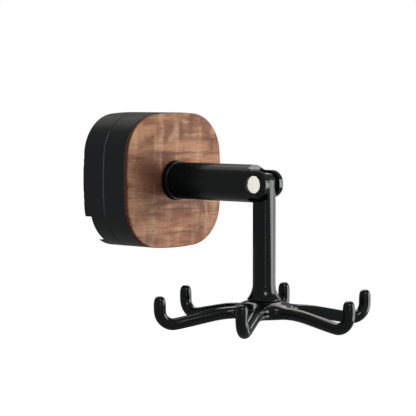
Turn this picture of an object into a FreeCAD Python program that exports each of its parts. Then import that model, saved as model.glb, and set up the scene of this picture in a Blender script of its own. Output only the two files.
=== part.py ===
import FreeCAD, Part
import math
import os
import Sketcher

# A folding, turning six-hook hanger on a rounded-square wall housing.
#
# Millimetres. The wall is the plane Y = 0 and the room is towards -Y, so a "depth" is a distance
# from the wall into the room. Z is up and X is to the right for a person who faces the wall.
# The origin is the centre of the back face, level with the arm's axis. The object is a mirror
# image of itself about X = 0. The pieces of the stem and the crown are drawn about the hinge
# pin's axis and placed at the pin's depth.

SIZES = {
    # outline shared by the shells and the wood face: a square with bulged sides
    "housing_width": 64.0,
    "side_bulge_radius": 150.0,
    "outline_corner_radius": 20.0,
    # wall plate and its adhesive pad
    "pad_thickness": 1.2,
    "plate_side_gap": 9.1,
    "plate_end_gap": 1.3,
    "plate_corner_radius": 9.0,
    "plate_thickness": 3.0,
    "wall_screw_spacing": 30.0,
    "wall_screw_hole_radius": 2.3,
    "wall_screw_countersink": 1.9,
    "hook_width": 18.0,
    "hook_leg": 3.0,
    "hook_lip_height": 7.0,
    "hook_lip_thickness": 2.2,
    "upper_hook_foot": 8.0,
    "hook_pitch": 22.0,
    "hook_play": 0.05,
    "lift_travel": 7.3,
    # shells
    "rear_shell_depth": 13.8,
    "front_shell_depth": 13.9,
    "shell_wall": 2.4,
    "plate_play": 0.4,
    "web_thickness": 2.8,
    "front_wall": 2.8,
    "tongue_height": 1.4,
    "tongue_inset": 1.3,
    "tongue_clearance": 0.1,
    "seam_chamfer": 0.3,
    "rear_edge_round": 0.5,
    "front_edge_round": 0.4,
    "notch_depth": 4.3,
    "notch_height": 11.5,
    "notch_above_bottom": 3.5,
    "notch_reach": 17.0,
    # screws that join the two shells
    "boss_inset": 14.0,
    "boss_radius": 3.6,
    "screw_end_space": 2.2,
    "shell_screw_radius": 1.45,
    "shell_screw_length": 12.5,
    "shell_screw_head_radius": 2.9,
    "shell_screw_head_height": 1.4,
    "shell_screw_recess": 1.6,
    "small_clearance": 0.05,
    "loose_clearance": 0.3,
    # wood face
    "film_thickness": 0.2,
    "film_inset": 1.0,
    "wood_thickness": 1.75,
    "wood_edge_round": 0.7,
    # arm and its fastening
    "arm_radius": 8.65,
    "neck_step": 1.05,
    "collar_overhang": 0.6,
    "collar_stand_off": 3.0,
    "collar_edge_round": 0.5,
    "spigot_radius": 6.0,
    "spigot_flat": 4.6,
    "spigot_shortfall": 0.4,
    "backing_width": 26.0,
    "backing_thickness": 2.0,
    "backing_corner_radius": 3.0,
    "bolt_radius": 2.95,
    "bolt_length": 24.0,
    "bolt_head_radius": 5.0,
    "bolt_head_height": 6.0,
    "bolt_socket_across_flats": 5.0,
    "bolt_socket_depth": 3.0,
    "bolt_end_space": 3.1,
    "washer_radius": 8.0,
    "washer_thickness": 1.2,
    "lock_washer_radius": 5.2,
    "lock_washer_thickness": 1.5,
    "lock_washer_gap": 1.2,
    # hinge between arm and stem
    "pin_depth": 85.6,
    "pin_radius": 2.5,
    "slot_end_clearance": 0.4,
    "fork_radius": 6.2,
    "ear_web": 3.0,
    "cap_radius": 4.0,
    "cap_thickness": 0.7,
    "cap_edge_round": 0.2,
    "pin_end_chamfer": 0.3,
    "bush_wall": 0.85,
    "hinge_washer_thickness": 0.6,
    # stem
    "stem_radius": 5.2,
    "tongue_thickness": 5.6,
    "shoulder_gap": 0.7,
    "foot_drop": 52.4,
    "flare_height": 4.9,
    "foot_rim_height": 0.3,
    "foot_radius": 7.7,
    # swivel under the stem
    "thrust_washer_thickness": 0.4,
    "thrust_washer_radius": 6.8,
    "swivel_play": 0.05,
    "shoulder_radius": 3.0,
    "screw_thread_radius": 2.4,
    "screw_thread_length": 12.0,
    "screw_head_radius": 5.0,
    "screw_head_height": 1.9,
    "swivel_bush_wall": 1.15,
    "swivel_flange_radius": 6.0,
    "swivel_flange_thickness": 0.8,
    "stem_bore_end_space": 1.5,
    # crown of six hooks
    "hub_top_radius": 7.9,
    "hub_radius": 12.2,
    "hub_shoulder_drop": 2.6,
    "hub_thickness": 7.85,
    "hub_edge": 0.8,
    "recess_radius": 6.4,
    "recess_depth": 3.5,
    "cap_depth": 0.7,
    "finger_radius": 2.75,
    "hook_circle_radius": 49.2,
    "hook_bend_radius": 6.4,
    "branch_sink": 5.05,
    "branch_level_end": 14.0,
    "branch_arch_radius": 60.0,
    "branch_fall": 0.2035,
    "finger_rise": 3.25,
    "branch_web_radius": 7.0,
    "branch_web_sink": 2.85,
    "branch_web_thickness": 4.7,
}

HOOK_COUNT = 6
COS_30 = math.sqrt(0.75)
FULL_TURN = 360

document = FreeCAD.newDocument("wall_hook_hanger")
sheet = document.addObject("Spreadsheet::Sheet", "sizes")


def fill_sheet():
    """Writes each driving size as a plain number with its name as the cell's alias."""
    for row, (name, value) in enumerate(SIZES.items(), start=1):
        sheet.set(f"A{row}", name)
        sheet.set(f"B{row}", str(value))
        sheet.setAlias(f"B{row}", name)
    document.recompute()


class Size:
    """A number together with the sheet formula that gives it."""

    def __init__(self, value, formula):
        self.value = float(value)
        self.formula = formula

    def __add__(self, other):
        other = as_size(other)
        return Size(self.value + other.value, f"({self.formula} + {other.formula})")

    def __sub__(self, other):
        other = as_size(other)
        return Size(self.value - other.value, f"({self.formula} - {other.formula})")

    def __mul__(self, other):
        other = as_size(other)
        return Size(self.value * other.value, f"({self.formula} * {other.formula})")

    def __truediv__(self, other):
        other = as_size(other)
        return Size(self.value / other.value, f"({self.formula} / {other.formula})")

    def __neg__(self):
        return Size(-self.value, f"(0 - {self.formula})")


def as_size(number):
    if isinstance(number, Size):
        return number
    return Size(number, repr(float(number)))


def size(name):
    """The driving size with this name, tied to its cell."""
    return Size(sheet.get(name), f"sizes.{name}")


def square_root(number):
    return Size(math.sqrt(number.value), f"sqrt({number.formula})")


def bind(feature, prop, number):
    feature.setExpression(prop, as_size(number).formula)


# ---------------------------------------------------------------- bodies, sketches, features


def new_body(label):
    body = document.addObject("PartDesign::Body", label)
    body.Label = label
    body.AllowCompound = True
    return body


def hang_from_pin(body):
    """Places a body drawn about the hinge pin's axis at the pin's depth."""
    bind(body, "Placement.Base.y", -size("pin_depth"))


def origin_feature(body, role):
    for feature in body.Origin.OriginFeatures:
        if feature.Role == role:
            return feature
    raise ValueError(f"{body.Label} has no {role}")


def new_sketch(body, name, role, offset=0):
    """A sketch on one of the body's own planes, moved along that plane's normal."""
    sketch = body.newObject("Sketcher::SketchObject", f"{body.Label}_{name}")
    sketch.AttachmentSupport = [(origin_feature(body, role), "")]
    sketch.MapMode = "FlatFace"
    bind(sketch, "AttachmentOffset.Base.z", offset)
    return sketch


def at_depth(body, name, depth):
    """A sketch parallel to the wall: X across, Z up, at this depth into the room."""
    return new_sketch(body, name, "XZ_Plane", depth)


def tie(sketch, kind, *places_and_number):
    """Adds one dimension to a sketch and ties it to its formula."""
    *places, number = places_and_number
    number = as_size(number)
    index = sketch.addConstraint(Sketcher.Constraint(kind, *places, number.value))
    sketch.setExpression(f"Constraints[{index}]", number.formula)


def pin_point(sketch, geometry, end, across, up):
    """Fixes a point of a sketch by its distances from the sketch's origin."""
    for kind, axis, number in (("DistanceX", -2, across), ("DistanceY", -1, up)):
        if as_size(number).value == 0:
            sketch.addConstraint(Sketcher.Constraint("PointOnObject", geometry, end, axis))
        else:
            tie(sketch, kind, -1, 1, geometry, end, number)


def arc_between(start, finish, radius, centre_on_left):
    """The shorter arc of this radius from start to finish; the sketch turns arcs anticlockwise."""
    chord = finish.sub(start)
    middle = start.add(finish).multiply(0.5)
    height = math.sqrt(max(radius ** 2 - (chord.Length / 2) ** 2, 0.0))
    side = 1 if centre_on_left else -1
    left = FreeCAD.Vector(-chord.y, chord.x, 0).normalize()
    centre = middle.add(left.multiply(side * height))
    first, last = (start, finish) if centre_on_left else (finish, start)
    first_angle = math.atan2(first.y - centre.y, first.x - centre.x)
    last_angle = math.atan2(last.y - centre.y, last.x - centre.x)
    circle = Part.Circle(centre, FreeCAD.Vector(0, 0, 1), radius)
    return Part.ArcOfCircle(circle, first_angle, last_angle)


def draw_path(sketch, corners, arcs=None, closed=True):
    """Draws straight edges between corners. Edge number i starts at corner i; where arcs holds
    i: (radius, centre_on_left), that edge is an arc instead."""
    arcs = arcs or {}
    points = [FreeCAD.Vector(as_size(x).value, as_size(y).value, 0) for x, y in corners]
    edge_count = len(corners) if closed else len(corners) - 1
    ends = []
    for i in range(edge_count):
        start = points[i]
        finish = points[(i + 1) % len(points)]
        if i in arcs:
            radius, centre_on_left = arcs[i]
            shape = arc_between(start, finish, as_size(radius).value, centre_on_left)
            geometry = sketch.addGeometry(shape)
            tie(sketch, "Radius", geometry, radius)
            ends.append((geometry, 1, 2) if centre_on_left else (geometry, 2, 1))
        else:
            geometry = sketch.addGeometry(Part.LineSegment(start, finish))
            ends.append((geometry, 1, 2))
    for i, (geometry, start, _) in enumerate(ends):
        pin_point(sketch, geometry, start, *corners[i])
        if closed or i > 0:
            previous, _, finish = ends[i - 1]
            join = Sketcher.Constraint("Coincident", previous, finish, geometry, start)
            sketch.addConstraint(join)
    if not closed:
        geometry, _, finish = ends[-1]
        pin_point(sketch, geometry, finish, *corners[-1])


def draw_circle(sketch, radius, across=0, up=0):
    centre = FreeCAD.Vector(as_size(across).value, as_size(up).value, 0)
    circle = Part.Circle(centre, FreeCAD.Vector(0, 0, 1), as_size(radius).value)
    geometry = sketch.addGeometry(circle)
    tie(sketch, "Radius", geometry, radius)
    pin_point(sketch, geometry, 3, across, up)


def draw_ring(sketch, inner_radius, outer_radius):
    draw_circle(sketch, outer_radius)
    draw_circle(sketch, inner_radius)


def draw_rectangle(sketch, left, right, bottom, top):
    draw_path(sketch, [(left, bottom), (right, bottom), (right, top), (left, top)])


def draw_rounded_rectangle(sketch, width, height, radius):
    across = width / 2
    up = height / 2
    corners = [
        (radius - across, -up),
        (across - radius, -up),
        (across, radius - up),
        (across, up - radius),
        (across - radius, up),
        (radius - across, up),
        (-across, up - radius),
        (-across, radius - up),
    ]
    draw_path(sketch, corners, {edge: (radius, True) for edge in (1, 3, 5, 7)})


def draw_outline(sketch, inset=0):
    """The housing's outline, drawn this far inside its outer edge: four gently bulged sides that
    run into four rounder corners without a kink."""
    side = size("side_bulge_radius")
    corner = size("outline_corner_radius")
    reach = side - corner
    back = side - size("housing_width") / 2
    corner_centre = (square_root(reach * reach * 2 - back * back) - back) / 2
    near = (side - inset) * corner_centre / reach
    far = (side - inset) * (corner_centre + back) / reach - back
    corners = [
        (near, -far),
        (far, -near),
        (far, near),
        (near, far),
        (-near, far),
        (-far, near),
        (-far, -near),
        (-near, -far),
    ]
    arcs = {}
    for edge in range(8):
        radius = corner if edge % 2 == 0 else side
        arcs[edge] = (radius - inset, True)
    draw_path(sketch, corners, arcs)


def draw_flatted_circle(sketch, radius, flat):
    """A circle with its top cut off level at the height of the flat."""
    half = square_root(radius * radius - flat * flat)
    corners = [(half, flat), (-half, flat), (0, -radius)]
    draw_path(sketch, corners, {1: (radius, True), 2: (radius, True)})


def extrude(body, name, sketch, length, reverse=False, symmetric=False):
    """Adds material from a sketch along its normal."""
    pad = body.newObject("PartDesign::Pad", f"{body.Label}_{name}")
    pad.Profile = sketch
    pad.Reversed = reverse
    if symmetric:
        pad.SideType = "Symmetric"
    bind(pad, "Length", length)
    body.Tip = pad
    return pad


def cut(body, name, sketch, length, along_normal=True, symmetric=False):
    """Takes material away from a sketch's profile."""
    pocket = body.newObject("PartDesign::Pocket", f"{body.Label}_{name}")
    pocket.Profile = sketch
    pocket.Reversed = along_normal
    if symmetric:
        pocket.SideType = "Symmetric"
    bind(pocket, "Length", length)
    body.Tip = pocket
    return pocket


def revolve(body, name, sketch, axis):
    turned = body.newObject("PartDesign::Revolution", f"{body.Label}_{name}")
    turned.Profile = sketch
    turned.ReferenceAxis = (sketch, [axis])
    turned.Angle = FULL_TURN
    body.Tip = turned
    return turned


def edges_where(feature, wanted):
    """Names of the edges of a feature for which wanted(edge) is true."""
    document.recompute()
    return [f"Edge{i}" for i, edge in enumerate(feature.Shape.Edges, start=1) if wanted(edge)]


def is_level(edge, axis, place):
    """True where the whole edge lies at this place along an axis (0, 1, 2 for X, Y, Z)."""
    box = edge.BoundBox
    low = (box.XMin, box.YMin, box.ZMin)[axis]
    high = (box.XMax, box.YMax, box.ZMax)[axis]
    tolerance = 1e-3
    return abs(low - place) < tolerance and abs(high - place) < tolerance


def round_edges(body, name, feature, radius, wanted):
    fillet = body.newObject("PartDesign::Fillet", f"{body.Label}_{name}")
    fillet.Base = (feature, edges_where(feature, wanted))
    bind(fillet, "Radius", radius)
    body.Tip = fillet
    return fillet


def bevel_edges(body, name, feature, width, wanted):
    chamfer = body.newObject("PartDesign::Chamfer", f"{body.Label}_{name}")
    chamfer.Base = (feature, edges_where(feature, wanted))
    bind(chamfer, "Size", width)
    body.Tip = chamfer
    return chamfer


# ---------------------------------------------------------------- depths that pieces share


def plate_front():
    return size("pad_thickness") + size("plate_thickness")


def plate_width():
    return (size("housing_width") / 2 - size("shell_wall") - size("plate_side_gap")) * 2


def plate_height():
    """The plate leaves room for the housing to be lifted clear of its hooks."""
    room = size("housing_width") / 2 - size("shell_wall") - size("plate_end_gap")
    return (room - size("lift_travel")) * 2


def plate_pocket_depth():
    return plate_front() + size("plate_play")


def web_front():
    return plate_pocket_depth() + size("web_thickness")


def shell_front():
    return size("rear_shell_depth") + size("front_shell_depth")


def wood_back():
    return shell_front() + size("film_thickness")


def wood_front():
    return wood_back() + size("wood_thickness")


def collar_front():
    return wood_front() + size("collar_stand_off")


def front_wall_back():
    return shell_front() - size("front_wall")


def backing_back():
    return front_wall_back() - size("backing_thickness")


def washer_back():
    return backing_back() - size("washer_thickness")


def lock_washer_back():
    return washer_back() - size("lock_washer_thickness")


def spigot_end():
    return backing_back() + size("spigot_shortfall")


def arm_neck_radius():
    return size("arm_radius") - size("neck_step")


def collar_radius():
    return size("arm_radius") + size("collar_overhang")


def stem_flat():
    """Half the thickness of the tongue at the top of the stem."""
    return size("tongue_thickness") / 2


def slot_half_width():
    """Half the arm's slot: the tongue, with a friction washer and its play on each side."""
    return stem_flat() + size("hinge_washer_thickness") + size("small_clearance") * 2


def cap_seat():
    """Distance from the middle to the face that a pin cap is pressed against."""
    return slot_half_width() + size("ear_web")


def bolt_bore_radius():
    return size("bolt_radius") + size("small_clearance")


def hook_feet():
    """Heights of the undersides of the wall plate's two hooks."""
    upper = size("upper_hook_foot")
    return [upper, upper - size("hook_pitch")]


# ---------------------------------------------------------------- pieces that stay on the wall


def make_adhesive_pad():
    """Foam pad with glue on both faces, punched to the plate's outline and screw holes."""
    body = new_body("adhesive_pad")
    outline = at_depth(body, "outline", 0)
    draw_rounded_rectangle(
        outline, plate_width(), plate_height(), size("plate_corner_radius")
    )
    extrude(body, "sheet", outline, size("pad_thickness"))
    holes = at_depth(body, "holes", 0)
    for side in (-1, 1):
        across = size("wall_screw_spacing") / 2 * side
        draw_circle(holes, size("wall_screw_hole_radius"), across)
    cut(body, "punch", holes, size("pad_thickness"))
    return body


def make_wall_plate():
    """Moulded plate with two upturned hooks that the housing drops on to."""
    body = new_body("wall_plate")
    outline = at_depth(body, "outline", size("pad_thickness"))
    draw_rounded_rectangle(
        outline, plate_width(), plate_height(), size("plate_corner_radius")
    )
    extrude(body, "sheet", outline, size("plate_thickness"))
    half = size("hook_width") / 2
    legs = at_depth(body, "legs", plate_front())
    lips = at_depth(body, "lips", web_front() + size("hook_play") * 4)
    for foot in hook_feet():
        leg_top = foot + size("hook_leg")
        draw_rectangle(legs, -half, half, foot, leg_top)
        draw_rectangle(lips, -half, half, foot, leg_top + size("hook_lip_height"))
    reach = web_front() + size("hook_play") * 4 + size("hook_lip_thickness") - plate_front()
    extrude(body, "hook_legs", legs, reach)
    hooked = extrude(body, "hook_lips", lips, size("hook_lip_thickness"))
    holes = at_depth(body, "holes", size("pad_thickness"))
    for side in (-1, 1):
        across = size("wall_screw_spacing") / 2 * side
        draw_circle(holes, size("wall_screw_hole_radius"), across)
    drilled = cut(body, "screw_holes", holes, size("plate_thickness"))
    front = -plate_front().value
    hole = size("wall_screw_hole_radius").value

    def is_hole_mouth(edge):
        return is_level(edge, 1, front) and abs(edge.Length - 2 * math.pi * hole) < 1e-3

    bevel_edges(body, "countersinks", drilled, size("wall_screw_countersink"), is_hole_mouth)
    return body


# ---------------------------------------------------------------- housing


def shell_screw_places():
    offset = size("housing_width") / 2 - size("boss_inset")
    return [(offset * across, offset * up) for across in (-1, 1) for up in (-1, 1)]


def shell_screw_seat():
    """Depth of the face that a shell screw's head bears on."""
    return plate_pocket_depth() + size("shell_screw_recess")


def make_rear_shell():
    """Rear half of the housing: a skirt round the wall plate, a web across it with two slots for
    the plate's hooks, and a tongue that fits inside the front half."""
    body = new_body("rear_shell")
    depth = size("rear_shell_depth")
    wall = size("shell_wall")
    outline = at_depth(body, "outline", 0)
    draw_outline(outline)
    solid = extrude(body, "block", outline, depth)
    seamed = bevel_edges(
        body, "seam_edge", solid, size("seam_chamfer"), lambda edge: is_level(edge, 1, -depth.value)
    )
    round_edges(
        body, "rear_edge", seamed, size("rear_edge_round"), lambda edge: is_level(edge, 1, 0)
    )
    pocket = at_depth(body, "pocket", 0)
    draw_outline(pocket, wall)
    cut(body, "plate_pocket", pocket, plate_pocket_depth())
    cavity = at_depth(body, "cavity", web_front())
    draw_outline(cavity, wall)
    cut(body, "front_cavity", cavity, depth - web_front())
    tongue_root = web_front()
    tongue = at_depth(body, "tongue", tongue_root)
    draw_outline(tongue, size("tongue_inset") + size("tongue_clearance"))
    draw_outline(tongue, wall)
    extrude(body, "tongue_ring", tongue, depth - tongue_root + size("tongue_height"))
    slots = at_depth(body, "slots", plate_pocket_depth())
    half = size("hook_width") / 2 + size("loose_clearance")
    for foot in hook_feet():
        slot_top = foot + size("hook_leg") + size("hook_play")
        slot_bottom = foot - size("lift_travel") - size("loose_clearance")
        draw_rectangle(slots, -half, half, slot_bottom, slot_top)
    cut(body, "hook_slots", slots, size("web_thickness"))
    holes = at_depth(body, "screw_holes", plate_pocket_depth())
    recesses = at_depth(body, "screw_recesses", plate_pocket_depth())
    for across, up in shell_screw_places():
        draw_circle(holes, size("shell_screw_radius") + size("small_clearance") * 2, across, up)
        head = size("shell_screw_head_radius") + size("loose_clearance")
        draw_circle(recesses, head, across, up)
    cut(body, "screw_bores", holes, size("web_thickness"))
    cut(body, "head_recesses", recesses, size("shell_screw_recess"))
    notches = at_depth(body, "notches", 0)
    outside = size("housing_width")
    inner = size("housing_width") / 2 - size("notch_reach")
    bottom = size("notch_above_bottom") - size("housing_width") / 2
    top = bottom + size("notch_height")
    draw_rectangle(notches, -outside, -inner, bottom, top)
    draw_rectangle(notches, inner, outside, bottom, top)
    cut(body, "finger_notches", notches, size("notch_depth"))
    return body


def make_front_shell():
    """Front half of the housing: a tub with four screw bosses and a flatted hole for the arm."""
    body = new_body("front_shell")
    rear = size("rear_shell_depth")
    wall = size("shell_wall")
    outline = at_depth(body, "outline", rear)
    draw_outline(outline)
    solid = extrude(body, "block", outline, size("front_shell_depth"))
    seam = bevel_edges(
        body, "seam_edge", solid, size("seam_chamfer"), lambda edge: is_level(edge, 1, -rear.value)
    )
    front = -shell_front().value
    round_edges(
        body, "front_edge", seam, size("front_edge_round"), lambda edge: is_level(edge, 1, front)
    )
    cavity = at_depth(body, "cavity", rear)
    draw_outline(cavity, wall)
    cut(body, "hollow", cavity, front_wall_back() - rear)
    recess = at_depth(body, "recess", rear)
    draw_outline(recess, size("tongue_inset"))
    cut(body, "tongue_recess", recess, size("tongue_height") + size("tongue_clearance"))
    bosses = at_depth(body, "bosses", web_front())
    bores = at_depth(body, "bores", web_front())
    for across, up in shell_screw_places():
        draw_circle(bosses, size("boss_radius"), across, up)
        draw_circle(bores, size("shell_screw_radius") + size("small_clearance"), across, up)
    extrude(body, "screw_bosses", bosses, front_wall_back() - web_front())
    bore_end = shell_screw_seat() + size("shell_screw_length") + size("screw_end_space")
    cut(body, "screw_bores", bores, bore_end - web_front())
    hole = at_depth(body, "arm_hole", front_wall_back())
    clearance = size("small_clearance")
    draw_flatted_circle(hole, size("spigot_radius") + clearance, size("spigot_flat") + clearance)
    cut(body, "arm_seat", hole, size("front_wall"))
    return body


def make_shell_screws():
    """Four pan-head screws put in from the rear before the housing goes on the wall plate."""
    body = new_body("shell_screws")
    seat = shell_screw_seat()
    heads = at_depth(body, "heads", seat)
    shanks = at_depth(body, "shanks", seat)
    for across, up in shell_screw_places():
        draw_circle(heads, size("shell_screw_head_radius"), across, up)
        draw_circle(shanks, size("shell_screw_radius"), across, up)
    extrude(body, "head_discs", heads, size("shell_screw_head_height"), reverse=True)
    extrude(body, "shank_rods", shanks, size("shell_screw_length"))
    return body


def make_face_film():
    """Double-sided film that holds the wood face on the front shell."""
    body = new_body("face_film")
    outline = at_depth(body, "outline", shell_front())
    draw_outline(outline, size("film_inset"))
    draw_circle(outline, collar_radius() + size("loose_clearance"))
    extrude(body, "sheet", outline, size("film_thickness"))
    return body


def make_wood_face():
    """Thin walnut panel with a softly rounded front edge and a hole for the collar."""
    body = new_body("wood_face")
    outline = at_depth(body, "outline", wood_back())
    draw_outline(outline)
    solid = extrude(body, "panel", outline, size("wood_thickness"))
    front = -wood_front().value
    round_edges(
        body, "front_edge", solid, size("wood_edge_round"), lambda edge: is_level(edge, 1, front)
    )
    hole = at_depth(body, "hole", wood_back())
    draw_circle(hole, collar_radius() + size("small_clearance") * 2)
    cut(body, "collar_hole", hole, size("wood_thickness"))
    return body


# ---------------------------------------------------------------- arm and its fastening


def make_arm_collar():
    """Spacer ring round the arm's neck, clamped between the front shell and the arm's shoulder."""
    body = new_body("arm_collar")
    ring = at_depth(body, "ring", shell_front())
    draw_ring(ring, arm_neck_radius() + size("small_clearance"), collar_radius())
    solid = extrude(body, "spacer", ring, collar_front() - shell_front())
    front = -collar_front().value
    outer = 2 * math.pi * collar_radius().value

    def is_outer_lip(edge):
        return is_level(edge, 1, front) and abs(edge.Length - outer) < 1e-3

    round_edges(body, "lip", solid, size("collar_edge_round"), is_outer_lip)
    return body


def make_arm():
    """Turned arm with a flatted spigot behind. Its round nose is milled above and below to a fork
    that is rounded about the hinge pin, and slotted to leave two ears."""
    body = new_body("arm")
    radius = size("arm_radius")
    pin = size("pin_depth")
    profile = new_sketch(body, "profile", "YZ_Plane")
    corners = [
        (-spigot_end(), 0),
        (-spigot_end(), size("spigot_radius")),
        (-shell_front(), size("spigot_radius")),
        (-shell_front(), arm_neck_radius()),
        (-collar_front(), arm_neck_radius()),
        (-collar_front(), radius),
        (-pin, radius),
        (-pin - radius, 0),
    ]
    draw_path(profile, corners, {6: (radius, True)})
    revolve(body, "turning", profile, "H_Axis")
    flat = at_depth(body, "flat", spigot_end())
    side = size("spigot_radius") * 2
    draw_rectangle(flat, -side, side, size("spigot_flat"), side)
    cut(body, "spigot_flat_cut", flat, shell_front() - spigot_end())
    bore = at_depth(body, "bore", spigot_end())
    draw_circle(bore, bolt_bore_radius())
    bore_end = lock_washer_back() + size("bolt_length") + size("bolt_end_space")
    cut(body, "bolt_bore", bore, bore_end - spigot_end())
    slot_end = -pin + size("stem_radius") + size("slot_end_clearance")
    fork = size("fork_radius")
    clear = radius * 2
    fork_side = new_sketch(body, "fork_side", "YZ_Plane")
    corners = [
        (slot_end, fork),
        (slot_end, clear),
        (-pin - clear, clear),
        (-pin - clear, -clear),
        (slot_end, -clear),
        (slot_end, -fork),
        (-pin, -fork),
        (-pin - fork, 0),
        (-pin, fork),
    ]
    draw_path(fork_side, corners, {6: (fork, False), 7: (fork, False)})
    cut(body, "fork_milling", fork_side, radius * 3, symmetric=True)
    slot = new_sketch(body, "slot", "XY_Plane")
    half = slot_half_width()
    draw_rectangle(slot, -half, half, -pin - radius * 2, slot_end)
    cut(body, "stem_slot", slot, radius * 3, symmetric=True)
    hole = new_sketch(body, "pin_hole", "YZ_Plane")
    draw_circle(hole, size("pin_radius") + size("small_clearance") / 2, -pin)
    cut(body, "pin_bore", hole, radius * 3, symmetric=True)
    for name, sign in (("left", -1), ("right", 1)):
        seat = new_sketch(body, f"{name}_seat", "YZ_Plane", cap_seat() * sign)
        draw_circle(seat, size("cap_radius") + size("small_clearance"), -pin)
        cut(body, f"{name}_counterbore", seat, radius, along_normal=sign > 0)
    return body


def make_backing_plate():
    """Steel plate inside the front shell that spreads the arm bolt's pull."""
    body = new_body("backing_plate")
    outline = at_depth(body, "outline", backing_back())
    width = size("backing_width")
    draw_rounded_rectangle(outline, width, width, size("backing_corner_radius"))
    extrude(body, "sheet", outline, size("backing_thickness"))
    hole = at_depth(body, "hole", backing_back())
    clearance = size("small_clearance")
    draw_flatted_circle(hole, size("spigot_radius") + clearance, size("spigot_flat") + clearance)
    cut(body, "spigot_hole", hole, size("backing_thickness"))
    return body


def make_arm_washer():
    """Plain steel washer under the arm bolt."""
    body = new_body("arm_washer")
    ring = at_depth(body, "ring", washer_back())
    draw_ring(ring, bolt_bore_radius() + size("small_clearance"), size("washer_radius"))
    extrude(body, "disc", ring, size("washer_thickness"))
    return body


def make_lock_washer():
    """Split spring washer that keeps the arm bolt tight."""
    body = new_body("lock_washer")
    ring = at_depth(body, "ring", lock_washer_back())
    draw_ring(ring, bolt_bore_radius() + size("small_clearance"), size("lock_washer_radius"))
    extrude(body, "disc", ring, size("lock_washer_thickness"))
    split = at_depth(body, "split", lock_washer_back())
    half = size("lock_washer_gap") / 2
    draw_rectangle(split, -half, half, size("bolt_radius") / 2, size("lock_washer_radius") * 2)
    cut(body, "split_cut", split, size("lock_washer_thickness"))
    return body


def make_arm_bolt():
    """Socket-head bolt that pulls the arm against the front shell from inside."""
    body = new_body("arm_bolt")
    head = at_depth(body, "head", lock_washer_back())
    draw_circle(head, size("bolt_head_radius"))
    extrude(body, "head_disc", head, size("bolt_head_height"), reverse=True)
    shank = at_depth(body, "shank", lock_washer_back())
    draw_circle(shank, size("bolt_radius"))
    extrude(body, "shank_rod", shank, size("bolt_length"))
    socket = at_depth(body, "socket", lock_washer_back() - size("bolt_head_height"))
    apothem = size("bolt_socket_across_flats") / 2
    side = apothem / COS_30
    corners = [
        (side, 0),
        (side / 2, apothem),
        (-side / 2, apothem),
        (-side, 0),
        (-side / 2, -apothem),
        (side / 2, -apothem),
    ]
    draw_path(socket, corners)
    cut(body, "hex_socket", socket, size("bolt_socket_depth"))
    return body


# ---------------------------------------------------------------- hinge pin and its caps


def make_hinge_pin():
    """Plain steel pin through both ears and the stem's eye."""
    body = new_body("hinge_pin")
    section = new_sketch(body, "section", "YZ_Plane")
    draw_circle(section, size("pin_radius"), -size("pin_depth"))
    length = (cap_seat() - size("small_clearance")) * 2
    rod = extrude(body, "rod", section, length, symmetric=True)
    bevel_edges(
        body,
        "ends",
        rod,
        size("pin_end_chamfer"),
        lambda edge: is_level(edge, 0, length.value / 2) or is_level(edge, 0, -length.value / 2),
    )
    return body


def make_pin_caps():
    """Two satin steel discs pressed into the ears' counterbores over the pin's ends."""
    body = new_body("pin_caps")
    for name, sign in (("left", -1), ("right", 1)):
        disc = new_sketch(body, f"{name}_disc", "YZ_Plane", cap_seat() * sign)
        draw_circle(disc, size("cap_radius"), -size("pin_depth"))
        extrude(body, f"{name}_cap", disc, size("cap_thickness"), reverse=sign < 0)
    face = (cap_seat() + size("cap_thickness")).value
    round_edges(
        body,
        "rims",
        body.Tip,
        size("cap_edge_round"),
        lambda edge: is_level(edge, 0, face) or is_level(edge, 0, -face),
    )
    return body


# ---------------------------------------------------------------- stem


def bush_outer_radius():
    return size("pin_radius") + size("small_clearance") + size("bush_wall")


def make_stem():
    """Round stem with a rounded tongue at the top, rounded shoulders below the arm's ears, and a
    flared foot that hides the swivel."""
    body = new_body("stem")
    hang_from_pin(body)
    radius = size("stem_radius")
    foot = size("foot_radius")
    rim = size("foot_drop") - size("foot_rim_height")
    spread = foot - radius
    flare_start = size("foot_drop") - size("flare_height")
    fall = rim - flare_start
    flare = (spread * spread + fall * fall) / (spread * 2)
    profile = new_sketch(body, "profile", "XZ_Plane")
    corners = [
        (0, radius),
        (0, -size("foot_drop")),
        (foot, -size("foot_drop")),
        (foot, -rim),
        (radius, -flare_start),
        (radius, radius),
    ]
    draw_path(profile, corners, {3: (flare, False)})
    revolve(body, "turning", profile, "V_Axis")
    round_top = new_sketch(body, "round_top", "YZ_Plane")
    clear = radius * 1.5
    corners = [
        (-radius, 0),
        (-clear, 0),
        (-clear, clear),
        (clear, clear),
        (clear, 0),
        (radius, 0),
        (0, radius),
    ]
    draw_path(round_top, corners, {5: (radius, True), 6: (radius, True)})
    cut(body, "eye_rounding", round_top, radius * 3, symmetric=True)
    shoulder = size("fork_radius") + size("shoulder_gap")
    rounding = radius - stem_flat()
    for name, sign in (("left", -1), ("right", 1)):
        side = new_sketch(body, f"{name}_side", "XZ_Plane")
        corners = [
            (stem_flat() * sign, clear),
            (stem_flat() * sign, -shoulder),
            (radius * sign, -shoulder - rounding),
            (clear * sign, -shoulder - rounding),
            (clear * sign, clear),
        ]
        draw_path(side, corners, {1: (rounding, sign < 0)})
        cut(body, f"{name}_side_cut", side, radius * 3, symmetric=True)
    eye = new_sketch(body, "eye", "YZ_Plane")
    draw_circle(eye, bush_outer_radius() + size("small_clearance") / 2)
    cut(body, "eye_bore", eye, radius * 3, symmetric=True)
    thread = new_sketch(body, "thread", "XY_Plane", -size("foot_drop"))
    draw_circle(thread, size("screw_thread_radius") + size("small_clearance"))
    cut(body, "screw_bore", thread, size("screw_thread_length") + size("stem_bore_end_space"))
    return body


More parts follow.
